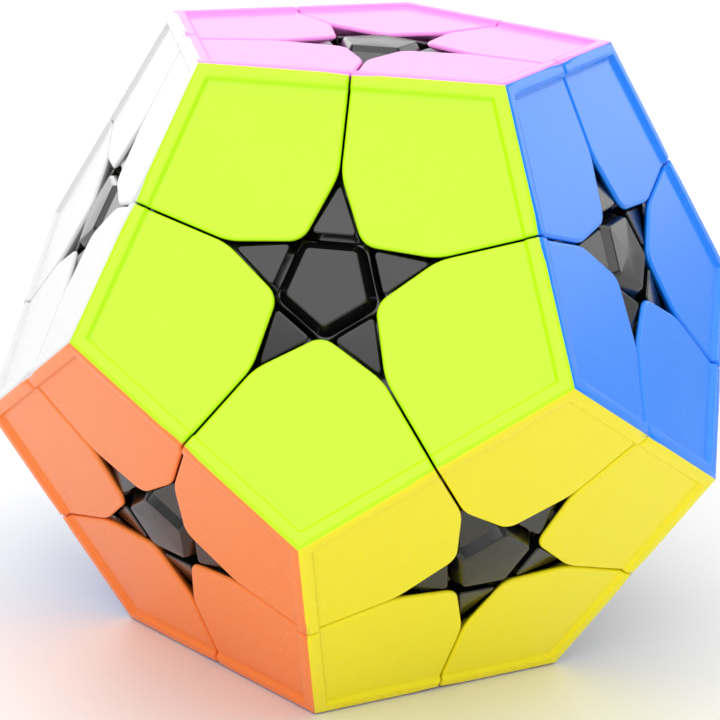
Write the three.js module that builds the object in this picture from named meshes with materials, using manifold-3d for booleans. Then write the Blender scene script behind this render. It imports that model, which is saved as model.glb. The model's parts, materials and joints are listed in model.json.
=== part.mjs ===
// A twelve-sided twisty puzzle: twenty corners, thirty hidden edges and twelve centres round a twelve-armed core.
//
// Every face turns about its own axis. One surface of revolution about a face axis, the "cut", parts that face's
// layer from the rest, and a piece is what lies inside the cuts of its own faces and outside all the others:
// three faces make a corner, two make an edge, one makes a centre. The cut leans in from the tiles to a neck and
// out again to a foot, so a layer is wider below its neck and its corners and edges can't be pulled out.
//
// Three faces that don't touch each other (green, grey and dark blue) have their layers built to turn.
// Millimetres, +Z up. The puzzle stands on its purple face, with the origin at the middle of that face.

import * as THREE from 'three';
import { mergeVertices } from 'three/addons/utils/BufferGeometryUtils.js';
import { ConvexGeometry } from 'three/addons/geometries/ConvexGeometry.js';
import Module from 'manifold-3d';

const wasm = await Module();
wasm.setup();

// ---- Driving dimensions ------------------------------------------------------------------------------------

const EDGE = 30;                 // edge of the dodecahedron
const GAP = 0.36;                // clearance between two pieces
const CUT_SIDES = 25;            // facets round each cut: a multiple of five keeps every layer alike

const STAR_TIP = 0.366 * EDGE;   // star opening in a face: how far its five points reach
const TIP_RELIEF = 0.45;         // drawn back at those points, so that two layers may stand part-turned together
const HUB_SIDE = 0.156 * EDGE;   // middle of a face to the side of its pentagonal hub

const EDGE_RECESS = 1.1;         // black edge arms below the face
const CAP_RECESS = 0.5;          // top of the hub cap below the face
const CAP_BASE = 3.1;            // foot of the hub cap below the face
const CAP_TOP_SIDE = 0.112 * EDGE;
const CAP_BASE_SIDE = 0.146 * EDGE;

// The cut below the tiles: every layer's pieces widen inwards from a neck to a foot, which keeps them in.
const SHELL_FLOOR = 16.2;        // height of the neck above the middle, along the face axis
const NECK_ANGLE = 41;           // from the face axis, in degrees
const FOOT = { radius: 18.3, angle: 48 };

const POST = { radius: 3.4, top: 15.0, sides: 8 };
const CORE_RADIUS = 8.5;
const FLOOR = POST.top + GAP;    // inner ends of all pieces lie on a small dodecahedron round the core
const SCREW = { shank: 1.25, head: 2.5, tip: 7, headFloor: 23.4, top: 25.2 };
const SPRING = { radius: 2.2, wire: 0.35, floor: 19, top: 22.7, turns: 3 };
const BORE = { shank: 1.6, seat: 18.3, spring: 2.9, post: 1.6, postFloor: 6.2 };
const CAP_PLUG = { radius: 2.5, floor: 27 };

// ---- The dodecahedron --------------------------------------------------------------------------------------

const GOLDEN = (1 + Math.sqrt(5)) / 2;
const FACE_RADIUS = EDGE * GOLDEN ** 2 / (2 * Math.sqrt(3 - GOLDEN));  // middle of the puzzle to a face
const CORNER_RADIUS = EDGE * Math.sqrt(3) * GOLDEN / 2;                // and to a vertex
const FACE_APOTHEM = EDGE / (2 * Math.tan(Math.PI / 5));               // middle of a face to its side
const TILT = Math.atan(2);                                             // between two neighbouring face axes
const TOUCHING = Math.cos(TILT) - 0.01;                                // faces with a larger dot product touch

const rad = THREE.MathUtils.degToRad;
const direction = (polar, azimuth) => new THREE.Vector3(
  Math.sin(polar) * Math.cos(azimuth), Math.sin(polar) * Math.sin(azimuth), Math.cos(polar));

// Colours go round the upper and lower rings of faces in the order of growing azimuth, 72 degrees apart.
const FACES = [
  { colour: 'pink', axis: direction(0, 0) },
  ...['green', 'light_blue', 'red', 'cream', 'white'].map((colour, i) => (
    { colour, axis: direction(TILT, rad(72 * i - 90)) })),
  ...['yellow', 'grey', 'dark_green', 'dark_blue', 'orange'].map((colour, i) => (
    { colour, axis: direction(Math.PI - TILT, rad(72 * i - 54)) })),
  { colour: 'purple', axis: direction(Math.PI, 0) },
];
const TURNING = ['green', 'grey', 'dark_blue'];

const touch = (a, b) => a !== b && a.axis.dot(b.axis) > TOUCHING;
const neighbours = (face) => FACES.filter((other) => touch(face, other));
const before = (a, b) => FACES.indexOf(a) < FACES.indexOf(b);
const handed = (a, b, c) => a.axis.clone().cross(b.axis).dot(c.axis) > 0;

// An edge is a pair of touching faces, and a corner is a triple of them in right-handed order.
const EDGES = FACES.flatMap((a) => neighbours(a).filter((b) => before(a, b)).map((b) => [a, b]));
const CORNERS = EDGES.flatMap(([a, b]) => neighbours(a)
  .filter((c) => touch(b, c) && before(b, c))
  .map((c) => (handed(a, b, c) ? [a, b, c] : [a, c, b])));
const middleOf = (faces) => faces.reduce((sum, face) => sum.add(face.axis), new THREE.Vector3()).normalize();

// ---- Solids ------------------------------------------------------------------------------------------------

// A closed three.js geometry as a solid that can be joined and cut.
function solid(geometry) {
  const bare = geometry.clone();
  bare.deleteAttribute('normal');
  bare.deleteAttribute('uv');
  const merged = mergeVertices(bare, 1e-4);
  const corners = merged.index.array;
  const kept = [];
  for (let i = 0; i < corners.length; i += 3) {
    const [a, b, c] = [corners[i], corners[i + 1], corners[i + 2]];
    if (a !== b && b !== c && c !== a) kept.push(a, b, c);
  }
  return new wasm.Manifold(new wasm.Mesh({
    numProp: 3,
    vertProperties: new Float32Array(merged.attributes.position.array),
    triVerts: new Uint32Array(kept),
  }));
}

// The solid's own mesh, as a three.js geometry.
function geometryOf(body) {
  const mesh = body.getMesh();
  const geometry = new THREE.BufferGeometry();
  geometry.setAttribute('position', new THREE.BufferAttribute(mesh.vertProperties, 3));
  geometry.setIndex(new THREE.BufferAttribute(mesh.triVerts, 1));
  geometry.computeVertexNormals();
  return geometry;
}

// Turns a lathe's own Y axis onto a face axis, and its starting direction towards a neighbouring face.
function ontoFace(geometry, face, neighbour) {
  const towards = neighbour.axis.clone().addScaledVector(face.axis, -neighbour.axis.dot(face.axis)).normalize();
  const across = face.axis.clone().cross(towards);
  return geometry.clone().applyMatrix4(new THREE.Matrix4().makeBasis(across, face.axis, towards));
}

const lathe = (points, sides, start = 0) => new THREE.LatheGeometry(
  points.map(([x, y]) => new THREE.Vector2(x, y)), sides, start, 2 * Math.PI);

// The convex dodecahedron with its faces at a given distance from the middle.
function dodecahedron(faceRadius) {
  const radius = CORNER_RADIUS * faceRadius / FACE_RADIUS;
  return solid(new ConvexGeometry(CORNERS.map((faces) => middleOf(faces).multiplyScalar(radius))));
}

// ---- The cut between a layer and the rest ---------------------------------------------------------------------

// A point of a face, at a radius and angle from its middle, as radius and height about a neighbouring face's axis.
function seenFromNeighbour(radius, degrees) {
  const height = FACE_RADIUS * Math.cos(TILT) + radius * Math.sin(rad(degrees)) * Math.sin(TILT);
  return [Math.sqrt(FACE_RADIUS ** 2 + radius ** 2 - height ** 2), height];
}

const onCone = (radius, angle) => [radius * Math.sin(rad(angle)), radius * Math.cos(rad(angle))];

// Where the wall round a hub, square to its face, comes down to the neck's height.
function underHubSide() {
  const [radius, height] = seenFromNeighbour(HUB_SIDE, 90);
  return [radius - (height - SHELL_FLOOR) * Math.tan(TILT), SHELL_FLOOR];
}

// The cut's profile from the middle outwards: foot and neck, then the star opening and the seam as they lie on the
// neighbouring faces.
const CUT = [
  [0, 0],
  onCone(FOOT.radius, FOOT.angle),
  [SHELL_FLOOR * Math.tan(rad(NECK_ANGLE)), SHELL_FLOOR],
  underHubSide(),
  seenFromNeighbour(HUB_SIDE, 90),
  seenFromNeighbour(STAR_TIP, 18),
  seenFromNeighbour(FACE_APOTHEM, 18),
  [2 * EDGE, seenFromNeighbour(FACE_APOTHEM, 18)[1]],
];

// The profile moved sideways by a distance, to its right as it runs: towards the rest of the puzzle.
function shifted(points, distance) {
  const normal = ([x0, y0], [x1, y1]) => {
    const length = Math.hypot(x1 - x0, y1 - y0);
    return [(y1 - y0) / length, (x0 - x1) / length];
  };
  return points.map((point, i) => {
    const first = normal(points[Math.max(i - 1, 0)], points[Math.max(i, 1)]);
    const second = normal(points[Math.min(i, points.length - 2)], points[Math.min(i + 1, points.length - 1)]);
    const stretch = distance / (1 + first[0] * second[0] + first[1] * second[1]);
    return [point[0] + (first[0] + second[0]) * stretch, point[1] + (first[1] + second[1]) * stretch];
  });
}

// A face's whole layer: everything inside its cut, drawn in or let out by half the gap. At the star's points it may
// be drawn back further.
function layerGeometry(distance, relief = 0) {
  const apex = [0, -distance / Math.sin(rad(FOOT.angle))];
  const profile = shifted(CUT, distance).slice(1);
  const tip = profile[profile.length - 3];
  tip[0] -= relief * Math.cos(TILT);
  tip[1] += relief * Math.sin(TILT);
  return lathe([apex, ...profile, [2 * EDGE, 2 * EDGE], [0, 2 * EDGE]], CUT_SIDES, Math.PI / CUT_SIDES);
}
const INSIDE = layerGeometry(-GAP / 2, TIP_RELIEF);
const OUTSIDE = layerGeometry(GAP / 2);
const layer = (face, geometry) => solid(ontoFace(geometry, face, neighbours(face)[0]));

// What lies inside the cuts of the given faces and outside those of the faces next to them that aren't allowed.
function piece(faces, faceRadius, allowed = faces) {
  const shell = dodecahedron(faceRadius).subtract(dodecahedron(FLOOR));
  const own = faces.reduce((body, face) => body.intersect(layer(face, INSIDE)), shell);
  return FACES.filter((face) => !allowed.includes(face) && faces.some((mine) => touch(face, mine)))
    .reduce((body, face) => body.subtract(layer(face, OUTSIDE)), own);
}

// ---- Pieces, each made once and turned to its places -----------------------------------------------------------

const MODEL_FACE = FACES[0];
const MODEL_EDGE = EDGES[0];
const MODEL_CORNER = CORNERS[0];

const cornerSolid = piece(MODEL_CORNER, FACE_RADIUS);
const edgeSolid = piece(MODEL_EDGE, FACE_RADIUS - EDGE_RECESS);
const hubSolid = piece([MODEL_FACE], FACE_RADIUS - CAP_BASE - GAP);

// A part turned about a face axis, from its profile of radius and height.
const onAxis = (profile, sides) => solid(ontoFace(lathe(profile, sides), MODEL_FACE, neighbours(MODEL_FACE)[0]));
const ROUND = 12;

// The hub has a seat for the spring and a hole for the screw.
function centreGeometry() {
  const bore = onAxis([
    [0, 0], [BORE.shank, 0], [BORE.shank, BORE.seat], [BORE.spring, BORE.seat],
    [BORE.spring, CORNER_RADIUS], [0, CORNER_RADIUS],
  ], ROUND);
  return geometryOf(hubSolid.subtract(bore));
}

// A pentagonal cap with sloping sides, and the round plug that holds it in the hub.
function capSolid() {
  const outwards = 1 / Math.cos(Math.PI / 5);
  const [top, base] = [FACE_RADIUS - CAP_RECESS, FACE_RADIUS - CAP_BASE];
  const pentagon = lathe([
    [0, base], [CAP_BASE_SIDE * outwards, base], [CAP_BASE_SIDE * outwards, base + 1],
    [CAP_TOP_SIDE * outwards, top], [0, top],
  ], 5).rotateY(Math.PI / 5);
  const plug = lathe([
    [0, CAP_PLUG.floor], [CAP_PLUG.radius, CAP_PLUG.floor], [CAP_PLUG.radius, top - 1], [0, top - 1],
  ], ROUND);
  const neighbour = neighbours(MODEL_FACE)[0];
  return solid(ontoFace(pentagon, MODEL_FACE, neighbour)).add(solid(ontoFace(plug, MODEL_FACE, neighbour)));
}

function screwGeometry() {
  return geometryOf(onAxis([
    [0, SCREW.tip], [SCREW.shank, SCREW.tip + 1], [SCREW.shank, SCREW.headFloor],
    [SCREW.head, SCREW.headFloor], [SCREW.head, SCREW.top - 0.4], [SCREW.head - 0.5, SCREW.top], [0, SCREW.top],
  ], ROUND));
}

// A coil spring between the hub's seat and the screw's head: a wire on a helix.
class Helix extends THREE.Curve {
  getPoint(t, target = new THREE.Vector3()) {
    const turn = 2 * Math.PI * SPRING.turns * t;
    const height = THREE.MathUtils.lerp(SPRING.floor, SPRING.top, t);
    return target.set(SPRING.radius * Math.cos(turn), height, SPRING.radius * Math.sin(turn));
  }
}
function springGeometry() {
  const section = new THREE.Shape();
  section.absarc(0, 0, SPRING.wire, 0, 2 * Math.PI);
  const wire = new THREE.ExtrudeGeometry(section, {
    extrudePath: new Helix(), steps: 8 * SPRING.turns, curveSegments: 2, bevelEnabled: false,
  });
  return geometryOf(solid(ontoFace(wire, MODEL_FACE, neighbours(MODEL_FACE)[0])));
}

// A fixed hub, its cap and what they hold, as one body.
function fixedCentreGeometry() {
  const stem = onAxis([[0, FLOOR + 1], [2, FLOOR + 1], [2, FACE_RADIUS - 1], [0, FACE_RADIUS - 1]], ROUND);
  return geometryOf(hubSolid.add(capSolid()).add(stem));
}

// The core: a ball with twelve posts. The posts of the turning faces are bored for their screws.
function coreGeometry() {
  const post = lathe([[0, 0], [POST.radius, 0], [POST.radius, POST.top], [0, POST.top]], POST.sides);
  const bore = lathe([
    [0, BORE.postFloor], [BORE.post, BORE.postFloor], [BORE.post, 2 * POST.top], [0, 2 * POST.top],
  ], POST.sides);
  const ball = solid(new THREE.IcosahedronGeometry(CORE_RADIUS, 1));
  const armed = FACES.reduce((body, face) => body.add(layer(face, post)), ball);
  return geometryOf(FACES.filter((face) => TURNING.includes(face.colour))
    .reduce((body, face) => body.subtract(layer(face, bore)), armed));
}

// ---- Placing ---------------------------------------------------------------------------------------------------

// Three directions that tie a piece down: its face axes, filled up with the cross product or a neighbour.
function basisOf(faces) {
  const [a, b, c] = faces.map((face) => face.axis);
  const second = b ?? neighbours(faces[0])[0].axis;
  return new THREE.Matrix4().makeBasis(a, second, c ?? a.clone().cross(second));
}
const turnFrom = (model, faces) => basisOf(faces).multiply(basisOf(model).invert());

// A fixed corner and the three edges round it as one body: each edge runs on under the corner's tiles.
function clusterSolid() {
  const pairs = MODEL_CORNER.map((face, i) => [face, MODEL_CORNER[(i + 1) % 3]]);
  return pairs.reduce((body, pair) => body.add(piece(pair, FACE_RADIUS - EDGE_RECESS, MODEL_CORNER)), cornerSolid);
}

const GEOMETRY = {
  corner: geometryOf(cornerSolid),
  cluster: geometryOf(clusterSolid()),
  edge: geometryOf(edgeSolid),
  centre: centreGeometry(),
  cap: geometryOf(capSolid()),
  screw: screwGeometry(),
  spring: springGeometry(),
  fixedCentre: fixedCentreGeometry(),
};

const blackPlastic = new THREE.MeshStandardMaterial({ color: 0x151515, roughness: 0.25, metalness: 0 });
const corePlastic = new THREE.MeshStandardMaterial({ color: 0xe8e8e4, roughness: 0.4, metalness: 0 });
const steel = new THREE.MeshStandardMaterial({ color: 0xb8bcc0, roughness: 0.3, metalness: 1 });
const COLOURS = {
  pink: 0xf7b0ee, green: 0xc8f53c, light_blue: 0x2e9bff, red: 0xd81c2c, cream: 0xfff3b0, white: 0xf6f6f6,
  yellow: 0xffe81c, grey: 0x9a9da1, dark_green: 0x0c7a3c, dark_blue: 0x1c3fae, orange: 0xff8a4c, purple: 0x7a2fb4,
};
const tileMaterials = Object.fromEntries(Object.entries(COLOURS).map(([colour, color]) => (
  [colour, new THREE.MeshStandardMaterial({ color, roughness: 0.3, metalness: 0 })])));

const puzzle = new THREE.Group();
puzzle.position.z = FACE_RADIUS;

function place(name, geometry, material, turn = new THREE.Matrix4()) {
  const mesh = new THREE.Mesh(geometry, material);
  mesh.name = name;
  mesh.applyMatrix4(turn);
  puzzle.add(mesh);
}

const turns = (faces) => faces.some((face) => TURNING.includes(face.colour));
const nameOf = (kind, faces) => [kind, ...faces.map((face) => face.colour)].join('_');
const within = (edge, corner) => edge.every((face) => corner.includes(face));

place('core', coreGeometry(), corePlastic);

for (const face of FACES) {
  const turn = turnFrom([MODEL_FACE], [face]);
  if (turns([face])) {
    place(nameOf('centre', [face]), GEOMETRY.centre, blackPlastic, turn);
    place(nameOf('cap', [face]), GEOMETRY.cap, blackPlastic, turn);
    place(nameOf('screw', [face]), GEOMETRY.screw, steel, turn);
    place(nameOf('spring', [face]), GEOMETRY.spring, steel, turn);
  } else {
    place(nameOf('centre', [face]), GEOMETRY.fixedCentre, blackPlastic, turn);
  }
}

// A fixed corner carries its three edges, apart from the one whose edges its own neighbours already carry.
const fixedEdges = EDGES.filter((edge) => !turns(edge));
const carried = new Map();
const touchesTurning = (corner) => EDGES.some((edge) => within(edge, corner)
  && CORNERS.some((other) => within(edge, other) && turns(other)));
for (const corner of CORNERS.filter((each) => !turns(each) && touchesTurning(each))) {
  carried.set(corner, fixedEdges.filter((edge) => within(edge, corner)));
}
const isCarried = (edge) => [...carried.values()].some((edges) => edges.includes(edge));

for (const edge of EDGES.filter((each) => turns(each) || !isCarried(each))) {
  place(nameOf('edge', edge), GEOMETRY.edge, blackPlastic, turnFrom(MODEL_EDGE, edge));
}
for (const corner of CORNERS) {
  const geometry = carried.has(corner) ? GEOMETRY.cluster : GEOMETRY.corner;
  place(nameOf('corner', corner), geometry, tileMaterials[corner[0].colour], turnFrom(MODEL_CORNER, corner));
}

export default puzzle;
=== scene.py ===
# %% [markdown]
# # A twelve-sided twisty puzzle
#
# Every face of this puzzle shows five coloured tiles round a black star. Twenty corners carry three tiles
# each, thirty black edges fill the arms of the stars, and twelve hubs with pentagonal caps sit in the
# middles, each held to a twelve-armed core by a screw and a spring. The frame holds the working parts and
# the joints. This script gives every real piece its own finished mesh: sixty tiles, twenty feet, thirty
# edges, the core, and twelve each of hubs, caps, screws and springs.
#
# Blender works in metres. The shapes below are drawn in millimetres, which suit a thing this small, and
# become metres when a mesh is made. They all grow from one number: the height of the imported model, which is
# the distance between two opposite faces of the dodecahedron.

# %% Load the frame
import json

import bmesh
import bpy
import numpy as np
from mathutils import Matrix


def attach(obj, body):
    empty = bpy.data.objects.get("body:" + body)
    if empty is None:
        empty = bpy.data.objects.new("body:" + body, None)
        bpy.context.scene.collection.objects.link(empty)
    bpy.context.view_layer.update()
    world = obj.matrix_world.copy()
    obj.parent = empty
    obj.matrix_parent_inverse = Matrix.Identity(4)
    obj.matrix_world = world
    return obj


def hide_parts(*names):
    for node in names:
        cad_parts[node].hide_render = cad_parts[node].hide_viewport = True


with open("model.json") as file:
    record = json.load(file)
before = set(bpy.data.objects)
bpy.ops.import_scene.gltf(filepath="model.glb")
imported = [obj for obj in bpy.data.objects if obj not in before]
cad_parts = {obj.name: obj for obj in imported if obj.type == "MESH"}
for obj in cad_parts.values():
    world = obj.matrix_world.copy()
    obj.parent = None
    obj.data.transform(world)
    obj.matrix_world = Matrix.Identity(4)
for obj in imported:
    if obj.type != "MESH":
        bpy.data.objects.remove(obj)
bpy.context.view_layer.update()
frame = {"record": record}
NODE_BODY = {node: body for body, nodes in frame["record"]["behaviour"]["bodies"].items() for node in nodes}

# %% [markdown]
# ## The dodecahedron
#
# A regular dodecahedron follows from its height alone. The face axes are the pole, a ring of five tilted by
# arctan 2 from it, and the opposites of those six. Neighbouring axes are arctan 2 apart as well, so one dot
# product tells whether two faces touch. An edge is a pair of touching faces and a corner is a triple of
# them.

# %% Sizes, faces, edges and corners
MM = 0.001
GOLDEN = (1 + 5 ** 0.5) / 2
FACE_RADIUS = frame["record"]["size"]["bbox_m"][2] / MM / 2          # middle of the puzzle to a face
EDGE = FACE_RADIUS * 2 * np.sqrt(3 - GOLDEN) / GOLDEN ** 2           # length of a dodecahedron edge
APOTHEM = EDGE / (2 * np.tan(np.pi / 5))                             # middle of a face to its side
MIDDLE = np.array([0, 0, FACE_RADIUS])
TILT = np.arctan(2)


def direction(polar, azimuth):
    """The unit vector at an angle from +Z and an azimuth from +X, in radians."""
    return np.array([np.sin(polar) * np.cos(azimuth), np.sin(polar) * np.sin(azimuth), np.cos(polar)])


UPPER_RING = ["green", "light_blue", "red", "cream", "white"]
LOWER_RING = ["yellow", "grey", "dark_green", "dark_blue", "orange"]
AXES = {"pink": direction(0, 0), "purple": direction(np.pi, 0)}
for i in range(5):
    AXES[UPPER_RING[i]] = direction(TILT, np.radians(72 * i - 90))
    AXES[LOWER_RING[i]] = direction(np.pi - TILT, np.radians(72 * i - 54))
FACES = ["pink"] + UPPER_RING + LOWER_RING + ["purple"]


def touch(a, b):
    """True when two faces share an edge."""
    return a != b and AXES[a] @ AXES[b] > 0.4


def neighbours(face):
    """The five faces round a face."""
    return [other for other in FACES if touch(face, other)]


def is_corner(a, b, c):
    """True for three faces that meet, named anticlockwise from the first of them in FACES."""
    first = FACES.index(a) < min(FACES.index(b), FACES.index(c))
    meeting = touch(a, b) and touch(b, c) and touch(c, a)
    return first and meeting and np.cross(AXES[a], AXES[b]) @ AXES[c] > 0


EDGES = [(a, b) for a in FACES for b in neighbours(a) if FACES.index(a) < FACES.index(b)]
CORNERS = [(a, b, c) for a in FACES for b in neighbours(a) for c in neighbours(b) if is_corner(a, b, c)]
print(f"edge {EDGE:.2f} mm, {len(EDGES)} edges, {len(CORNERS)} corners")

# %% [markdown]
# ## Camera, light and floor
#
# The puzzle is seen from a little above its green face, from far enough that the perspective is gentle. The
# light is a white studio: an even surround, one large soft panel above, a weaker one in front and three low
# ones behind. Glossy plastic only shows what it reflects. From here the green face mirrors the panel in
# front, the top face the one behind, and the right face partly the one behind on the right. A plain pale disc
# is the floor.

# %% Camera
CAMERA_AT = np.array([0.90881, -7.14468, 2.36381]) * EDGE            # from the middle of the puzzle
CAMERA_RIGHT = np.array([0.98860, 0.14327, 0.04627])
CAMERA_UP = np.array([-0.08962, 0.31306, 0.94550])
LENS_MM, SENSOR_MM = 102.62, 36.0

camera = bpy.data.objects.new("camera", bpy.data.cameras.new("camera"))
camera.data.lens = LENS_MM
camera.data.sensor_width = SENSOR_MM
camera.data.clip_start = 0.01
turn = np.eye(4)
turn[:3, 0] = CAMERA_RIGHT
turn[:3, 1] = CAMERA_UP
turn[:3, 2] = np.cross(CAMERA_RIGHT, CAMERA_UP)
turn[:3, 3] = (MIDDLE + CAMERA_AT) * MM
camera.matrix_world = Matrix(turn.tolist())
bpy.context.scene.collection.objects.link(camera)
bpy.context.scene.camera = camera
bpy.context.scene.view_settings.view_transform = "Standard"
print("camera at", np.round(turn[:3, 3], 4))

# %% Light and floor
world = bpy.data.worlds.new("studio")
bpy.context.scene.world = world
world.use_nodes = True
world.node_tree.nodes["Background"].inputs["Color"].default_value = (1, 1, 1, 1)
world.node_tree.nodes["Background"].inputs["Strength"].default_value = 0.48


def softbox(name, at, width, height, watts):
    """A rectangular lamp at a place in metres that faces the middle of the puzzle."""
    lamp = bpy.data.objects.new(name, bpy.data.lights.new(name, "AREA"))
    lamp.data.shape = "RECTANGLE"
    lamp.data.size, lamp.data.size_y = width, height
    lamp.data.energy = watts
    back = np.array(at) - MIDDLE * MM
    back /= np.linalg.norm(back)
    side = np.cross([0, 0.01, 1], back)
    side /= np.linalg.norm(side)
    pose = np.eye(4)
    pose[:3, 0], pose[:3, 1], pose[:3, 2], pose[:3, 3] = side, np.cross(back, side), back, at
    lamp.matrix_world = Matrix(pose.tolist())
    bpy.context.scene.collection.objects.link(lamp)


softbox("panel_above", (0.0, 0.0, 0.70), 1.0, 1.0, 4.2)
softbox("panel_front", (-0.12, -0.62, 0.50), 0.9, 0.5, 2.1)
softbox("panel_back", (-0.12, 0.95, 0.36), 0.6, 0.4, 0.65)
softbox("panel_back_left", (-0.62, 0.62, 0.26), 0.9, 0.5, 2.6)
softbox("panel_back_right", (0.66, 0.58, 0.31), 0.8, 0.4, 1.3)

FLOOR_RADIUS = 1.5
around = np.linspace(0, 2 * np.pi, 96, endpoint=False)
rim = np.stack([np.cos(around), np.sin(around), np.zeros(96)], 1) * FLOOR_RADIUS
floor_mesh = bpy.data.meshes.new("floor")
floor_mesh.from_pydata(rim.tolist(), [], [list(range(96))])
floor = bpy.data.objects.new("floor", floor_mesh)
bpy.context.scene.collection.objects.link(floor)
print("lamps and floor made")

# %% [markdown]
# ## Finishes
#
# Every visible part is injection-moulded plastic with its colour all the way through, polished in the
# mould. Such a surface isn't perfectly flat: it waves by a few microns where it shrank, carries a fine
# grain, and gets hairline scratches where fingers turn the puzzle. Those effects are the same for every
# colour, so they are one node group with its own strengths, placed in each material. The patterns read
# Object coordinates, which lie in the solid, so they don't stretch and don't slide when a layer turns.

# %% Node helpers


def new_group(name, inputs, outputs):
    """An empty shader node group with named float or colour sockets. Inputs are (name, type, default)."""
    group = bpy.data.node_groups.new(name, "ShaderNodeTree")
    for label, kind, default in inputs:
        group.interface.new_socket(label, in_out="INPUT", socket_type=kind).default_value = default
    for label, kind in outputs:
        group.interface.new_socket(label, in_out="OUTPUT", socket_type=kind)
    return group, group.nodes.new("NodeGroupInput"), group.nodes.new("NodeGroupOutput")


def node(tree, kind, links=(), **values):
    """A node with some of its attributes set and (input, socket or value) pairs linked or filled in."""
    made = tree.nodes.new(kind)
    for name, value in values.items():
        setattr(made, name, value)
    for name, value in links:
        if isinstance(value, bpy.types.NodeSocket):
            tree.links.new(value, made.inputs[name])
        else:
            made.inputs[name].default_value = value
    return made


# %% Moulded plastic group
FLOAT, COLOUR = "NodeSocketFloat", "NodeSocketColor"
moulded, given, result = new_group(
    "MouldedPlastic",
    [("Color", COLOUR, (0.8, 0.8, 0.8, 1)), ("Deep Color", COLOUR, (0.6, 0.6, 0.6, 1)),
     ("Roughness", FLOAT, 0.25), ("Cloudiness", FLOAT, 0.3), ("Scratches", FLOAT, 0.3)],
    [("Color", COLOUR), ("Roughness", FLOAT), ("Height", FLOAT)],
)
solid_place = node(moulded, "ShaderNodeTexCoord").outputs["Object"]


def noise(tree, vector, scale, detail):
    """A noise value from a vector, with so many features a metre."""
    links = [("Vector", vector), ("Scale", scale), ("Detail", detail)]
    return node(tree, "ShaderNodeTexNoise", links).outputs["Fac"]


cloud = noise(moulded, solid_place, 90.0, 3.0)
grain = noise(moulded, solid_place, 2600.0, 2.0)
shrink = noise(moulded, solid_place, 45.0, 1.0)
stretch = node(moulded, "ShaderNodeMapping", [("Vector", solid_place), ("Rotation", (0.5, 0.3, 0.8)),
                                              ("Scale", (60.0, 2600.0, 900.0))])
hair = noise(moulded, stretch.outputs["Vector"], 1.0, 2.0)
thin = node(moulded, "ShaderNodeMapRange", [("Value", hair), ("From Min", 0.66), ("From Max", 0.74)])
lines = node(moulded, "ShaderNodeMath", [(0, thin.outputs["Result"]), (1, given.outputs["Scratches"])],
             operation="MULTIPLY")
share = node(moulded, "ShaderNodeMath", [(0, cloud), (1, given.outputs["Cloudiness"])],
             operation="MULTIPLY")
tint = node(moulded, "ShaderNodeMix", [("Factor", share.outputs["Value"]), ("A", given.outputs["Color"]),
                                       ("B", given.outputs["Deep Color"])], data_type="RGBA")
dull = node(moulded, "ShaderNodeMath", [(0, grain), (1, 0.10), (2, given.outputs["Roughness"])],
            operation="MULTIPLY_ADD")
worn = node(moulded, "ShaderNodeMath", [(0, lines.outputs["Value"]), (1, 0.25), (2, dull.outputs["Value"])],
            operation="MULTIPLY_ADD")
wave = node(moulded, "ShaderNodeMath", [(0, grain), (1, 0.02), (2, shrink)], operation="MULTIPLY_ADD")
grooves = [(0, lines.outputs["Value"]), (1, -0.03), (2, wave.outputs["Value"])]
relief = node(moulded, "ShaderNodeMath", grooves, operation="MULTIPLY_ADD")
moulded.links.new(tint.outputs["Result"], result.inputs["Color"])
moulded.links.new(worn.outputs["Value"], result.inputs["Roughness"])
moulded.links.new(relief.outputs["Value"], result.inputs["Height"])
print("group", moulded.name, "with", len(moulded.nodes), "nodes")

# %% Plastics


def linear(red, green, blue):
    """A display colour from 0 to 255 as the linear colour that shaders work with."""
    value = np.array([red, green, blue]) / 255
    value = np.where(value <= 0.04045, value / 12.92, ((value + 0.055) / 1.055) ** 2.4)
    return (*value.tolist(), 1.0)


def plastic(name, colour, deep, roughness=0.18, cloudiness=0.35, scratches=0.3, bump=0.03, index=1.5):
    """A polished moulded plastic: the group gives its colour, dullness and waves to one Principled shader."""
    material = bpy.data.materials.new(name)
    material.use_nodes = True
    tree = material.node_tree
    shader = tree.nodes["Principled BSDF"]
    effect = tree.nodes.new("ShaderNodeGroup")
    effect.node_tree = moulded
    effect.inputs["Color"].default_value = linear(*colour)
    effect.inputs["Deep Color"].default_value = linear(*deep)
    effect.inputs["Roughness"].default_value = roughness
    effect.inputs["Cloudiness"].default_value = cloudiness
    effect.inputs["Scratches"].default_value = scratches
    relief = node(tree, "ShaderNodeBump", [("Height", effect.outputs["Height"]), ("Distance", 0.0001),
                                           ("Strength", bump)])
    tree.links.new(effect.outputs["Color"], shader.inputs["Base Color"])
    tree.links.new(effect.outputs["Roughness"], shader.inputs["Roughness"])
    tree.links.new(relief.outputs["Normal"], shader.inputs["Normal"])
    shader.inputs["IOR"].default_value = index
    return material


TILE_COLOURS = {
    "pink": ((252, 152, 236), (246, 138, 228)),
    "green": ((202, 255, 4), (194, 250, 0)),
    "light_blue": ((0, 136, 255), (0, 124, 250)),
    "red": ((216, 28, 44), (196, 18, 34)),
    "cream": ((255, 243, 176), (250, 232, 150)),
    "white": ((222, 222, 223), (214, 214, 217)),
    "yellow": ((255, 242, 6), (255, 234, 0)),
    "grey": ((154, 157, 161), (140, 143, 148)),
    "dark_green": ((12, 122, 60), (8, 104, 50)),
    "dark_blue": ((28, 63, 174), (20, 50, 150)),
    "orange": ((255, 138, 56), (255, 124, 42)),
    "purple": ((122, 47, 180), (106, 38, 160)),
}
TILE_PLASTIC = {face: plastic(f"{face}_tile", *TILE_COLOURS[face]) for face in FACES}
BLACK_PLASTIC = plastic("black_plastic", (16, 16, 17), (11, 11, 12), roughness=0.12, bump=0.02, index=1.62)
CORE_PLASTIC = plastic("core_plastic", (226, 226, 220), (212, 212, 206), roughness=0.35)
print(len(TILE_PLASTIC) + 2, "plastics")

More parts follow.
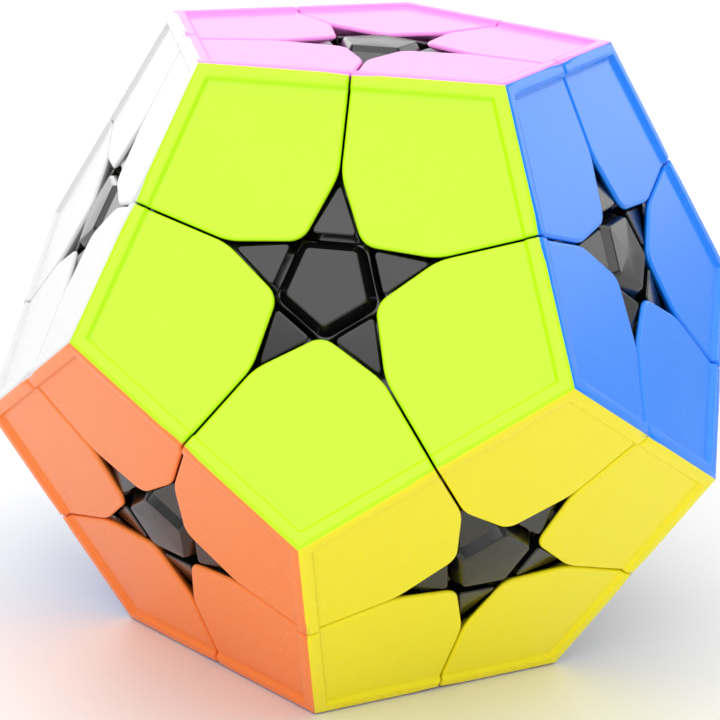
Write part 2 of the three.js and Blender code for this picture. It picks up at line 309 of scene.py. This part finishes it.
# %% [markdown]
# The screws and springs are bright zinc-plated steel. Plating leaves a fine cloudy film, so its roughness
# varies more than its colour.

# %% Steel
STEEL = bpy.data.materials.new("zinc_steel")
STEEL.use_nodes = True
tree = STEEL.node_tree
shader = tree.nodes["Principled BSDF"]
film = noise(tree, node(tree, "ShaderNodeTexCoord").outputs["Object"], 700.0, 4.0)
plated = node(tree, "ShaderNodeMix", [("Factor", film), ("A", linear(196, 198, 202)),
                                      ("B", linear(150, 152, 160))], data_type="RGBA")
matt = node(tree, "ShaderNodeMapRange", [("Value", film), ("To Min", 0.18), ("To Max", 0.5)])
tree.links.new(plated.outputs["Result"], shader.inputs["Base Color"])
tree.links.new(matt.outputs["Result"], shader.inputs["Roughness"])
shader.inputs["Metallic"].default_value = 1.0
print("steel with", len(tree.nodes), "nodes")

# %% Floor paint
FLOOR_PAINT = bpy.data.materials.new("floor_paint")
FLOOR_PAINT.use_nodes = True
shader = FLOOR_PAINT.node_tree.nodes["Principled BSDF"]
shader.inputs["Base Color"].default_value = (0.86, 0.86, 0.86, 1)
shader.inputs["Roughness"].default_value = 0.6
floor_mesh.materials.append(FLOOR_PAINT)
print("floor painted")

# %% [markdown]
# ## From rings to meshes
#
# Most pieces here are stacks of closed outlines: the tile, the arm of a star, the cap, the hub, the screw.
# Each is a grid of points, ring after ring, so quads between neighbouring rings make its skin, and a fan
# closes it at either end. A piece may be several such closed skins, as an edge is: two arms on one body.

# %% Mesh helpers


def skin(rings, wrap_rings=False):
    """Points and faces for a grid of rings, shape (rings, samples, 3): quads between rings, and a fan to the
    middle point at each end. With wrap_rings the last ring joins the first, as on a ring doughnut."""
    count, samples = rings.shape[:2]
    index = np.arange(count * samples).reshape(count, samples)
    lower = index if wrap_rings else index[:-1]
    upper = np.roll(index, -1, 0) if wrap_rings else index[1:]
    quads = np.stack([lower, np.roll(lower, -1, 1), np.roll(upper, -1, 1), upper], -1).reshape(-1, 4)
    points = rings.reshape(-1, 3)
    faces = quads.tolist()
    if not wrap_rings:
        points = np.concatenate([points, rings[:1].mean(1), rings[-1:].mean(1)])
        first, last = count * samples, count * samples + 1
        start, end = index[0], index[-1]
        faces += np.stack([np.roll(start, -1), start, np.full(samples, first)], -1).tolist()
        faces += np.stack([end, np.roll(end, -1), np.full(samples, last)], -1).tolist()
    return points, faces


def joined(*parts):
    """Several closed skins as one list of points and faces."""
    points, faces, offset = [], [], 0
    for own_points, own_faces in parts:
        points.append(own_points)
        faces += [[corner + offset for corner in face] for face in own_faces]
        offset += len(own_points)
    return np.concatenate(points), faces


def make(name, shape, material, stands_for, smooth_below=35):
    """A finished piece from points in millimetres about the middle of the puzzle: its mesh is merged, turned
    outwards and shaded smooth up to an angle, and it rides with the CAD node that it stands for."""
    points, faces = shape
    mesh = bpy.data.meshes.new(name)
    mesh.from_pydata(((points + MIDDLE) * MM).tolist(), [], faces)
    work = bmesh.new()
    work.from_mesh(mesh)
    bmesh.ops.remove_doubles(work, verts=work.verts, dist=2e-7)
    bmesh.ops.dissolve_degenerate(work, edges=work.edges, dist=1e-7)
    bmesh.ops.recalc_face_normals(work, faces=work.faces)
    work.to_mesh(mesh)
    work.free()
    mesh.materials.append(material)
    mesh.set_sharp_from_angle(angle=np.radians(smooth_below))
    mesh.polygons.foreach_set("use_smooth", np.ones(len(mesh.polygons), bool))
    piece = bpy.data.objects.new(name, mesh)
    bpy.context.scene.collection.objects.link(piece)
    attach(piece, NODE_BODY[stands_for])
    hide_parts(stands_for)
    return piece


# %% [markdown]
# A part of a face is drawn flat, with x and y in the face and z outwards, and y towards some landmark: a
# vertex for a tile, an edge for an arm. Then it is carried to its face. A deeper part, such as an edge's
# body, is worked out once round the first of its kind and turned to the others.

# %% Placing


def on_face(points, face, landmark):
    """Points drawn on a face, carried to it: z along its axis from its surface, y towards the landmark."""
    outwards = AXES[face]
    up = landmark - outwards * (landmark @ outwards)
    up /= np.linalg.norm(up)
    return points @ np.array([np.cross(up, outwards), up, outwards]) + FACE_RADIUS * outwards


def turn_between(model, faces):
    """The turn that carries the face axes of a model piece onto those of another piece of its kind."""

    def basis(names):
        axes = [AXES[name] for name in names]
        axes += [AXES[neighbours(names[0])[0]]] if len(axes) == 1 else []
        return np.array(axes if len(axes) == 3 else [*axes, np.cross(*axes)]).T

    return basis(faces) @ np.linalg.inv(basis(model))


def name_of(kind, faces):
    """A piece's name from the colours of its faces, as the frame's nodes are named."""
    return "_".join([kind, *faces])


def is_carrier(corner):
    """True for a corner whose node also holds its three edges: it stands still next to one that turns, and
    no edge of it has a node of its own."""
    beside = [other for other in CORNERS if len(set(other) & set(corner)) == 2]
    own = [name_of("edge", edge) for edge in EDGES if set(edge) <= set(corner)]
    stirs = any(NODE_BODY[name_of("corner", other)] != NODE_BODY["core"] for other in beside)
    return stirs and not any(edge in NODE_BODY for edge in own)


def node_of(kind, faces):
    """The CAD node of a piece: its own, or the hub or corner that it was joined to in the frame."""
    for candidate in [name_of(kind, faces), name_of("centre", faces)]:
        if candidate in NODE_BODY:
            return candidate
    carriers = [corner for corner in CORNERS if set(faces) <= set(corner) and is_carrier(corner)]
    return name_of("corner", carriers[0])


print("the first edge's node is", node_of("edge", EDGES[0]))

# %% [markdown]
# ## Outlines with rounded corners
#
# Every outline here is a convex polygon given by its sides: the direction that a side faces, in degrees,
# and its distance from the middle of the face. Drawing all sides inwards gives the next ring of a bevel or
# a sloping wall, and a rounded corner keeps its centre while its radius shrinks. So one function draws
# every ring of a piece, and the rings match sample by sample.

# %% Outline helpers


def facing(degrees):
    """The flat unit vector at an angle from +x."""
    return np.stack([np.cos(np.radians(degrees)), np.sin(np.radians(degrees))], -1)


def meet(a, distance_a, b, distance_b):
    """Where two sides cross: the point whose shadow on each side's direction is that side's distance."""
    a, b = np.radians(a), np.radians(b)
    x = distance_a * np.sin(b) - distance_b * np.sin(a)
    y = distance_b * np.cos(a) - distance_a * np.cos(b)
    return np.stack([x, y], -1) / np.sin(b - a)


def rounded_corner(side, following, radius, inset, inset_following, samples):
    """Arcs round one corner, a row for each inset: the centre stays while the reach, the radius less the
    inset, shrinks to nothing, and then the corner is where the two sides meet."""
    (a, distance_a), (b, distance_b) = side, following
    drawn_in = distance_a - np.maximum(radius, inset)
    centre = meet(a, drawn_in, b, distance_b - np.maximum(radius, inset_following))
    share = np.linspace(0, 1, samples)
    reach = radius - inset[:, None] * (1 - share) - inset_following[:, None] * share
    return centre[:, None] + np.maximum(reach, 0)[..., None] * facing(a + (b - a) * share)


def straight(start, end, samples):
    """Points spread between two columns of corners, without the corners themselves."""
    share = np.linspace(0, 1, samples + 2)[1:-1, None]
    return start[:, None] * (1 - share) + end[:, None] * share


def polygon_rings(sides, radius, profile, samples=5, along=3):
    """Rings of a convex polygon. The profile's rows are (inset, height), and each makes one ring."""
    inset, height = np.array(profile, float).T
    turned = [*sides[1:], (sides[0][0] + 360, sides[0][1])]
    arcs = [rounded_corner(a, b, radius, inset, inset, samples) for a, b in zip(sides, turned)]
    runs = [straight(arc[:, -1], after[:, 0], along) for arc, after in zip(arcs, arcs[1:] + arcs[:1])]
    flat = np.concatenate([part for pair in zip(arcs, runs) for part in pair], 1)
    return np.concatenate([flat, np.broadcast_to(height[:, None, None], (*flat.shape[:2], 1))], 2)


BESIDE = 1.15                         # a row this many radii in keeps the flat part's shading flat


def rounded_edge(radius, height, steps=5):
    """Profile rows for a quarter-round edge: from flat at its height to upright at an inset of nothing."""
    angle = np.linspace(0, np.pi / 2, steps)
    arc = [(radius * (1 - np.sin(t)), height - radius * (1 - np.cos(t))) for t in angle]
    return [(BESIDE * radius, height), *arc]


print("outline helpers made")


# %% [markdown]
# ## Coloured tiles
#
# A tile is a kite: two of its sides lie on edges of the dodecahedron, two are seams, and the two short ones
# make room for the star. Along the dodecahedron's edges it has a raised rim, and the rest is sunken by
# under half a millimetre. Where two tiles of one corner fold over the edge they share, the plastic is
# gently rounded; along seams and star it has a tighter lip, and below the lip the wall draws back under the
# tile, because a turning layer sweeps past there.
#
# The rings follow the kite's outline inwards. Along the seams their samples sit where the rim's step
# crosses, so the step stays crisp from one tile to the next.

# %% Tile dimensions
STAR_SIDE = 0.1400 * EDGE             # middle of the face to the long sides of the star's arms
ARM_HALF_ANGLE = 22.6                 # degrees between an arm's axis and its sides
SEAM = 0.22                           # width of the seam between two tiles
TIP_ROUND = 6.0                       # radius of the blend from seam to arm
NOTCH_ROUND = 2.2                     # radius of the tile's inmost corner
RIM_WIDTH = 1.5                       # raised rim along the edges of the dodecahedron
RIM_FILLET = 0.45                     # width of the rim's sloping inner side
SUNK = 0.45                           # depth of the tile inside the rim
LIP_ROUND = 0.35                      # rounding along seams and star
FOLD_ROUND = 0.9                      # rounding over the dodecahedron's edges
HALF_FOLD = TILT / 2                  # half the turn of the surface over such an edge
FOLD_START = FOLD_ROUND * np.tan(HALF_FOLD)
FOLD_SLOPE = np.tan(HALF_FOLD)        # how far the plane between two tiles draws in per unit of depth
SHELL_DEPTH = 1.9
WALL_TOP = 0.82                       # where the wall starts to draw back, just below the lip
SHELL_GAP = 0.01                      # between two tiles of one corner
SEAM_SLOPE, ARM_SLOPE = np.tan(np.radians((27, 50)))   # of the wall under the seams and under the star
ON_RIM, INSIDE_RIM = (0.6, 0.8), 1.95  # rows on the flat top of the rim and just inside its step

OUTER = [(54, APOTHEM), (126, APOTHEM)]
SEAMS = [(216, -SEAM / 2), (324, -SEAM / 2)]
ARMS = [(216 + ARM_HALF_ANGLE, -STAR_SIDE), (324 - ARM_HALF_ANGLE, -STAR_SIDE)]
print(f"a fold starts {FOLD_START:.2f} mm from the edge")

# %% Tile shape


def tile_rings(outer, seam, arm, crossings):
    """Flat rings of a tile, anticlockwise from its outer vertex, for arrays of insets of its outer sides,
    seams and arm sides. Crossings are distances from the outer side where every ring has a sample on the
    seams."""
    right, left = OUTER
    vertex = meet(left[0], left[1] - outer, right[0], right[1] - outer)
    halves = []
    for side, line in ((left, SEAMS[0]), (right, SEAMS[1])):
        depth = np.maximum(crossings, outer[:, None])
        corner = meet(side[0], side[1] - outer, line[0], line[1] - seam)
        halves.append((corner, meet(side[0], side[1] - depth, line[0], (line[1] - seam)[:, None])))
    (corner_left, seam_left), (corner_right, seam_right) = halves
    tip_left = rounded_corner(SEAMS[0], ARMS[0], TIP_ROUND, seam, arm, 8)
    notch = rounded_corner(ARMS[0], ARMS[1], NOTCH_ROUND, arm, arm, 11)
    tip_right = rounded_corner(ARMS[1], SEAMS[1], TIP_ROUND, arm, seam, 8)
    parts = [
        vertex[:, None], straight(vertex, corner_left, 5), corner_left[:, None], seam_left, tip_left,
        straight(tip_left[:, -1], notch[:, 0], 3), notch,
        straight(notch[:, -1], tip_right[:, 0], 3), tip_right,
        seam_right[:, ::-1], corner_right[:, None], straight(corner_right, vertex, 5),
    ]
    inside = np.ones(sum(part.shape[1] for part in parts), bool)
    inside[:7] = inside[-6:] = False                  # the samples on the outer sides
    return np.concatenate(parts, 1), inside


def tile_height(points, lip):
    """Height over the tile: sunken inside the rim by a smooth step, less a wide arc over the fold at the
    outer sides and a quarter circle at the lip, by the distance to each."""
    to_edge = np.minimum(*[distance - points @ facing(angle) for angle, distance in OUTER])
    step = np.clip((to_edge - RIM_WIDTH + RIM_FILLET / 2) / RIM_FILLET, 0, 1)
    fold = np.clip((FOLD_START - to_edge) / FOLD_ROUND, 0, 1)
    over = np.clip(1 - lip / LIP_ROUND, 0, 1)
    height = -SUNK * step ** 2 * (3 - 2 * step)
    height -= FOLD_ROUND * (1 - np.sqrt(1 - fold ** 2))
    return height - LIP_ROUND * (1 - np.sqrt(1 - over ** 2))


def tile_shape():
    """One tile on its face with its outer vertex towards +y: top, lip, wall and back."""
    across = RIM_WIDTH + RIM_FILLET * np.linspace(0.5, -0.5, 7)
    flat = np.array([INSIDE_RIM, *across, *ON_RIM[::-1]])
    swing = np.linspace(0, 1, 7)
    lip = LIP_ROUND * (1 - np.sin(swing * np.pi / 2))
    fold = FOLD_START - FOLD_ROUND * np.sin(swing * HALF_FOLD)
    wall = np.array([WALL_TOP, SHELL_DEPTH])
    below = wall - WALL_TOP
    outer = np.concatenate([flat, fold, wall * FOLD_SLOPE + SHELL_GAP])
    beside_lip = np.append(flat[:-1], BESIDE * LIP_ROUND)
    seam = np.concatenate([beside_lip, lip, below * SEAM_SLOPE])
    arm = np.concatenate([beside_lip, lip, below * ARM_SLOPE])
    crossings = np.array([0.4, ON_RIM[1], *across[::-1], INSIDE_RIM, 3.2, 5.0, 6.8])
    rings, inside = tile_rings(outer, seam, arm, crossings)
    to_seam = np.minimum(*[distance - rings @ facing(angle) for angle, distance in SEAMS])
    distance = np.where(inside, arm[:, None], to_seam)
    height = tile_height(rings, distance)
    height[len(flat) + len(swing):] = -wall[:, None]
    return skin(np.concatenate([rings, height[..., None]], 2))


tile_points, tile_faces = tile_shape()
for corner in CORNERS:
    towards = sum(AXES[face] for face in corner)
    for face in corner:
        others = [other for other in corner if other != face]
        make(name_of("tile", [face, "at", *others]), (on_face(tile_points, face, towards), tile_faces),
             TILE_PLASTIC[face], name_of("corner", corner), smooth_below=50)
print("sixty tiles of", len(tile_faces), "faces")

# %% [markdown]
# ## The cut between layers
#
# Under the tiles everything is black. One surface of revolution about each face axis parts that face's
# layer from the rest, with a neck and a foot that keep the pieces in. A foot or an edge is what lies inside
# the cuts of its own faces and outside those of the faces next to them. Such a solid could be cut out with
# booleans, but here rays from a point inside it find its skin: each ray is halved again and again between a
# point inside and one outside. The two angles of the rays are the two parameters of the surface.

# %% The cut's profile
GAP = 0.36                            # between two pieces
HUB_SIDE = 0.156 * EDGE               # middle of a face to the side of its hub
STAR_TIP = 0.366 * EDGE               # and to the points of its star
NECK = 0.485 * FACE_RADIUS            # height of the neck, where a layer is narrowest
NECK_RADIUS = 14.08
FOOT_RADIUS, FOOT_HEIGHT = 13.6, 12.25   # where the foot under the neck ends
INNER_FACE = 0.46 * FACE_RADIUS       # the pieces end on a small dodecahedron round the core


def seen_from_neighbour(radius, degrees):
    """A point of a face, at a radius and angle from its middle, as radius and height about the next face's
    axis."""
    height = FACE_RADIUS * np.cos(TILT) + radius * np.sin(np.radians(degrees)) * np.sin(TILT)
    return [np.sqrt(FACE_RADIUS ** 2 + radius ** 2 - height ** 2), height]


hub_edge = seen_from_neighbour(HUB_SIDE, 90)
seam_end = seen_from_neighbour(APOTHEM, 18)
under_hub_edge = [hub_edge[0] - np.tan(TILT) * (hub_edge[1] - NECK), NECK]
CUT = np.array([
    [0, 0], [FOOT_RADIUS, FOOT_HEIGHT], [NECK_RADIUS, NECK], under_hub_edge, hub_edge,
    seen_from_neighbour(STAR_TIP, 18), seam_end, [2 * EDGE, seam_end[1]],
])
print("cut of", len(CUT) - 1, "runs")

# %% Bodies inside the cuts


def above_cut(points, face):
    """Distance of points from a face's cut, positive inside its layer: the least distance to the profile's
    straight runs, in the half-plane of radius and height about the face's axis."""
    height = points @ AXES[face]
    radius = np.sqrt(np.maximum((points ** 2).sum(-1) - height ** 2, 0))
    here = np.stack([radius, height], -1)[..., None, :]
    run = CUT[1:] - CUT[:-1]
    share = np.clip(((here - CUT[:-1]) * run).sum(-1) / (run ** 2).sum(-1), 0, 1)
    distance = np.linalg.norm(here - CUT[:-1] - share[..., None] * run, axis=-1).min(-1)
    return np.where(height > np.interp(radius, *CUT.T), distance, -distance)


def within(points, faces, face_radius, ridge=FACE_RADIUS):
    """How deep points lie in the piece of some faces: the least of their distances inside its boundaries.
    The ridge is how far it may rise along the axes of the faces next to it."""
    heights = np.stack([points @ AXES[face] for face in FACES])
    limits = [face_radius - heights.max(0), heights.max(0) - INNER_FACE]
    limits += [above_cut(points, face) - GAP / 2 for face in faces]
    around = [other for other in FACES if other not in faces and any(touch(other, face) for face in faces)]
    limits += [-GAP / 2 - above_cut(points, face) for face in around]
    limits += [ridge - points @ AXES[face] for face in around]
    return np.min(limits, axis=0)


def reach(start, rays, solid, furthest=30.0, halvings=22):
    """Where rays from points inside a solid leave it, by halving the span between inside and outside."""
    near, far = np.zeros(rays.shape[:-1]), np.full(rays.shape[:-1], furthest)
    for _ in range(halvings):
        middle = (near + far) / 2
        inside = solid(start + rays * middle[..., None]) > 0
        near, far = np.where(inside, middle, near), np.where(inside, far, middle)
    return start + rays * near[..., None]


POLE = 0.02


def body_shape(faces, start_radius, face_radius, ridge=FACE_RADIUS, rows=48, columns=96):
    """A piece's skin seen from a point on its middle line: rows of rays by polar angle, columns by azimuth.
    The rays stop just short of the line itself, where a fan closes each end."""
    middle = sum(AXES[face] for face in faces)
    middle /= np.linalg.norm(middle)
    side = AXES[faces[0]] - middle * (AXES[faces[0]] @ middle)
    side /= np.linalg.norm(side)
    polar = np.linspace(POLE, np.pi - POLE, rows)[:, None]
    azimuth = np.linspace(0, 2 * np.pi, columns, endpoint=False)[None]
    rays = np.cos(polar)[..., None] * middle + (np.sin(polar) * np.cos(azimuth))[..., None] * side
    rays = rays + (np.sin(polar) * np.sin(azimuth))[..., None] * np.cross(middle, side)

    def depth(points):
        return within(points, faces, face_radius, ridge)

    return skin(reach(start_radius * middle, rays, depth))


# %% Corner feet
FOOT_MIDDLE = 23.0                    # from the middle of the puzzle to a point inside a foot
FOOT_TOP = FACE_RADIUS - SHELL_DEPTH - 0.02

foot_points, foot_faces = body_shape(CORNERS[0], FOOT_MIDDLE, FOOT_TOP)
for corner in CORNERS:
    turned = foot_points @ turn_between(CORNERS[0], corner).T
    make(name_of("foot", corner), (turned, foot_faces), BLACK_PLASTIC, name_of("corner", corner))
print("twenty feet of", len(foot_faces), "faces")

# %% [markdown]
# ## Edges
#
# An edge shows one arm in each of two stars. The arms are wedges with softly rounded edges whose flat tops
# fall a little towards their tips. The tops are mirror-smooth, so they are made as clean outlines on top of
# the body that runs between them. The body stays lower than the cut would let it, to keep clear of the
# walls of turning tiles.

# %% Edge pieces
ARM_TOP, ARM_FLOOR = 0.75, 5.0        # below the face
ARM_SLANT = np.tan(np.radians(9))     # an arm's top falls towards its tip
ARM_GAP = 0.18                        # between an arm and the tiles
ARM_DRAFT = 1.3                       # drawn in at its foot, because turning tiles sweep past there
ARM_INNER = 0.163 * EDGE              # middle of the face to an arm's inner end
ARM_ROUND, ARM_CORNER = 0.22, 0.42    # radius along its top edges, and of its corners
EDGE_MIDDLE = 24.0                    # from the middle of the puzzle to a point inside an edge
EDGE_TOP = FACE_RADIUS - 4.0
EDGE_RIDGE = 17.0                     # how far the body rises along the axis of a layer that turns past it

arm_reach = STAR_SIDE - ARM_GAP
arm_sides = [(ARM_HALF_ANGLE, arm_reach), (180 - ARM_HALF_ANGLE, arm_reach), (270, -ARM_INNER)]
arm_profile = [*rounded_edge(ARM_ROUND, -ARM_TOP), (ARM_DRAFT, -ARM_FLOOR)]
arm_rings = polygon_rings(arm_sides, ARM_CORNER, arm_profile)
arm_rings[..., 2] -= ARM_SLANT * (arm_rings[..., 1] - ARM_INNER)
arm_points, arm_faces = skin(arm_rings)
edge_body = body_shape(EDGES[0], EDGE_MIDDLE, EDGE_TOP, EDGE_RIDGE)
for edge in EDGES:
    turned = edge_body[0] @ turn_between(EDGES[0], edge).T
    arms = [(on_face(arm_points, face, sum(AXES[other] for other in edge)), arm_faces) for face in edge]
    make(name_of("edge_piece", edge), joined((turned, edge_body[1]), *arms), BLACK_PLASTIC,
         node_of("edge", edge), smooth_below=50)
print("thirty edges of", len(edge_body[1]) + 2 * len(arm_faces), "faces")

# %% [markdown]
# ## Hubs and caps
#
# A hub is a five-sided block that flares out under the tiles, with a stepped hole down its middle for the
# screw and its spring. Its rings are levels from the inner end to the top, and at each level rays straight
# out from the axis find the wall. A cap with five sloping sides and a flat top closes the hole.

# %% Hub shape
BORE_SHANK, BORE_SPRING = 1.6, 2.9    # radius of the hole for the screw and of the wider one for its spring
SPRING_SEAT = 18.3
HUB_TOP = FACE_RADIUS - 2.3
HUB_ROUND = 0.3                       # rounding of its rim
MODEL = FACES[0]


def ring_at(radius, height, samples=120):
    """A level ring about the model face's axis, from radii or one radius and a height."""
    angle = np.linspace(0, 2 * np.pi, samples, endpoint=False)
    radius = np.broadcast_to(radius, samples)
    return np.stack([radius * np.cos(angle), radius * np.sin(angle), np.full(samples, height)], 1)


def lathe(profile, samples=48):
    """Rings about the model face's axis from rows of (radius, height)."""
    return np.array([ring_at(radius, height, samples) for radius, height in profile])


def hub_rings():
    """The hub's skin as a closed grid: up the outside, over the top, and down the stepped hole."""
    low, high = np.linspace(INNER_FACE + 0.3, NECK, 4), np.linspace(NECK + 0.3, HUB_TOP, 14)
    levels = np.array([INNER_FACE + 0.01, *low, *high])
    rays = ring_at(1.0, 0.0)[None] + np.zeros((len(levels), 1, 1))
    start = np.array([0, 0, 1.0]) * levels[:, None, None]
    walls = reach(start, rays, lambda points: within(points, [MODEL], HUB_TOP + 0.01))
    widths = np.linalg.norm(walls[..., :2], axis=-1)
    rings = [ring_at(BORE_SHANK, levels[0])]
    rings += [ring_at(width, level) for width, level in zip(widths[:-1], levels[:-1])]
    for t in np.linspace(0, np.pi / 2, 5):
        inset, rise = HUB_ROUND * (1 - np.cos(t)), HUB_ROUND * np.sin(t)
        rings.append(ring_at(widths[-1] - inset, HUB_TOP - HUB_ROUND + rise))
    steps = [(BORE_SPRING, HUB_TOP), (BORE_SPRING, SPRING_SEAT), (BORE_SHANK, SPRING_SEAT)]
    return np.array(rings + [ring_at(radius, height) for radius, height in steps])


hub_points, hub_faces = skin(hub_rings(), wrap_rings=True)
for face in FACES:
    turned = hub_points @ turn_between([MODEL], [face]).T
    make(name_of("hub", [face]), (turned, hub_faces), BLACK_PLASTIC, node_of("centre", [face]))
print("twelve hubs of", len(hub_faces), "faces")

# %% Caps
CAP_TOP, CAP_SHOULDER, CAP_FLOOR = 0.40, 1.80, 2.5     # below the face
CAP_TOP_SIDE, CAP_SIDE = 0.112 * EDGE, 0.140 * EDGE     # middle to the sides of its top and of its foot
CAP_CORNER = 1.4                      # radius of its corners at the foot, less towards the top
PLUG_RADIUS, PLUG_FLOOR, PLUG_BEVEL = 2.5, 6.4, 0.2

cap_sides = [(90 + 72 * i, CAP_SIDE) for i in range(5)]
slope = CAP_SIDE - CAP_TOP_SIDE
cap_profile = [
    (slope + 0.14, -CAP_TOP), (slope + 0.08, -CAP_TOP - 0.01), (slope + 0.02, -CAP_TOP - 0.05),
    (slope - 0.03, -CAP_TOP - 0.12), (0.06, -CAP_SHOULDER + 0.05), (0.01, -CAP_SHOULDER - 0.02),
    (0, -CAP_SHOULDER - 0.1), (0, -CAP_FLOOR),
]
cap_shape = skin(polygon_rings(cap_sides, CAP_CORNER, cap_profile, samples=9))
plug_shape = skin(lathe([
    (PLUG_RADIUS - PLUG_BEVEL, -CAP_FLOOR + PLUG_BEVEL), (PLUG_RADIUS, -CAP_FLOOR),
    (PLUG_RADIUS, -PLUG_FLOOR + PLUG_BEVEL), (PLUG_RADIUS - PLUG_BEVEL, -PLUG_FLOOR),
]))
cap_points, cap_faces = joined(cap_shape, plug_shape)
for face in FACES:
    make(name_of("cap_piece", [face]), (on_face(cap_points, face, AXES[neighbours(face)[0]]), cap_faces),
         BLACK_PLASTIC, node_of("cap", [face]), smooth_below=60)
print("twelve caps of", len(cap_faces), "faces")

# %% [markdown]
# ## Core, screws and springs
#
# Inside, a ball with twelve posts carries everything. A screw goes down each hub into its post, and a
# spring under the screw's head presses the hub in. The spring is a wire carried along a helix.

# %% Core
BALL, POST_RADIUS, POST_TOP, POST_BEVEL = 8.5, 3.4, 15.0, 0.3
POST_BORE, POST_BORE_FLOOR = 1.6, 6.2

latitude = np.linspace(-np.pi / 2 + POLE, np.pi / 2 - POLE, 40)
ball = skin(lathe([(BALL * np.cos(t), BALL * np.sin(t)) for t in latitude], 80))
post = skin(lathe([
    (POST_BORE, POST_BORE_FLOOR), (POST_RADIUS, POST_BORE_FLOOR), (POST_RADIUS, POST_TOP - POST_BEVEL),
    (POST_RADIUS - POST_BEVEL, POST_TOP), (POST_BORE + POST_BEVEL, POST_TOP),
    (POST_BORE, POST_TOP - POST_BEVEL),
]), wrap_rings=True)
posts = [(post[0] @ turn_between([MODEL], [face]).T, post[1]) for face in FACES]
make("core_ball", joined(ball, *posts), CORE_PLASTIC, "core")
print("core of", len(ball[1]) + 12 * len(post[1]), "faces")

# %% Screws
SHANK, SCREW_TIP, THREAD, THREAD_PITCH = 1.15, 7.0, 0.2, 0.8
HEAD, HEAD_FLOOR, HEAD_BRIM, HEAD_TOP = 2.5, 23.4, 23.9, 25.2
RECESS_REACH, RECESS_WIDTH, RECESS_DEPTH = 1.5, 0.32, 0.9


def screw_shape():
    """A pan-head screw: the thread is a ripple of the shank's radius that climbs one pitch a turn, and the
    cross recess is a dip in the head along two crossing lines."""
    shank = [(SHANK, height) for height in np.linspace(SCREW_TIP, HEAD_FLOOR, 150)]
    rise = np.linspace(0, 1, 12)
    dome = [(HEAD * np.sqrt(1 - 0.9 * t ** 3), HEAD_BRIM + (HEAD_TOP - HEAD_BRIM) * t) for t in rise]
    inner = [(radius, HEAD_TOP + 0.05) for radius in np.linspace(0.7, 0.02, 14)]
    rings = lathe([(0.3, SCREW_TIP - 0.6), *shank, (HEAD, HEAD_FLOOR), *dome, *inner], 64)
    angle = np.arctan2(rings[..., 1], rings[..., 0])
    ripple = 1 + THREAD / SHANK * np.abs((rings[..., 2] / THREAD_PITCH - angle / (2 * np.pi)) % 1 - 0.5)
    is_shank = (rings[..., 2] > SCREW_TIP - 0.1) & (rings[..., 2] < HEAD_FLOOR - 0.5)
    rings[..., :2] *= np.where(is_shank, ripple, 1)[..., None]
    x, y = np.abs(rings[..., 0]), np.abs(rings[..., 1])
    in_cross = (np.minimum(x, y) < RECESS_WIDTH) & (np.maximum(x, y) < RECESS_REACH)
    in_cross &= rings[..., 2] > HEAD_TOP - 0.4
    rings[..., 2] -= np.where(in_cross, RECESS_DEPTH, 0)
    return skin(rings)


screw_points, screw_faces = screw_shape()
print("a screw of", len(screw_faces), "faces")

# %% Springs
COIL_RADIUS, COIL_FLOOR, COIL_TOP, COIL_TURNS, WIRE = 2.2, 18.7, 23.0, 3.5, 0.3


def spring_shape(steps=120, around=10):
    """A round wire carried along a helix, with the section square to the wire's run."""
    t = np.linspace(0, 1, steps)[:, None]
    turn_angle = 2 * np.pi * COIL_TURNS * t
    outwards = np.concatenate([np.cos(turn_angle), np.sin(turn_angle), 0 * t], 1)
    height = COIL_FLOOR + (COIL_TOP - COIL_FLOOR) * t
    line = outwards * COIL_RADIUS + np.array([0, 0, 1]) * height
    run = np.gradient(line, axis=0)
    run /= np.linalg.norm(run, axis=1)[:, None]
    across = np.cross(run, outwards)
    section = np.linspace(0, 2 * np.pi, around, endpoint=False)[None, :, None]
    section = np.cos(section) * outwards[:, None] + np.sin(section) * across[:, None]
    return skin(line[:, None] + WIRE * section)


spring_points, spring_faces = spring_shape()
print("a spring of", len(spring_faces), "faces")

# %% A screw and a spring for every hub
for face in FACES:
    turned = turn_between([MODEL], [face]).T
    make(name_of("screw_piece", [face]), (screw_points @ turned, screw_faces), STEEL,
         node_of("screw", [face]))
    make(name_of("spring_piece", [face]), (spring_points @ turned, spring_faces), STEEL,
         node_of("spring", [face]), smooth_below=60)
print("twelve screws and twelve springs")
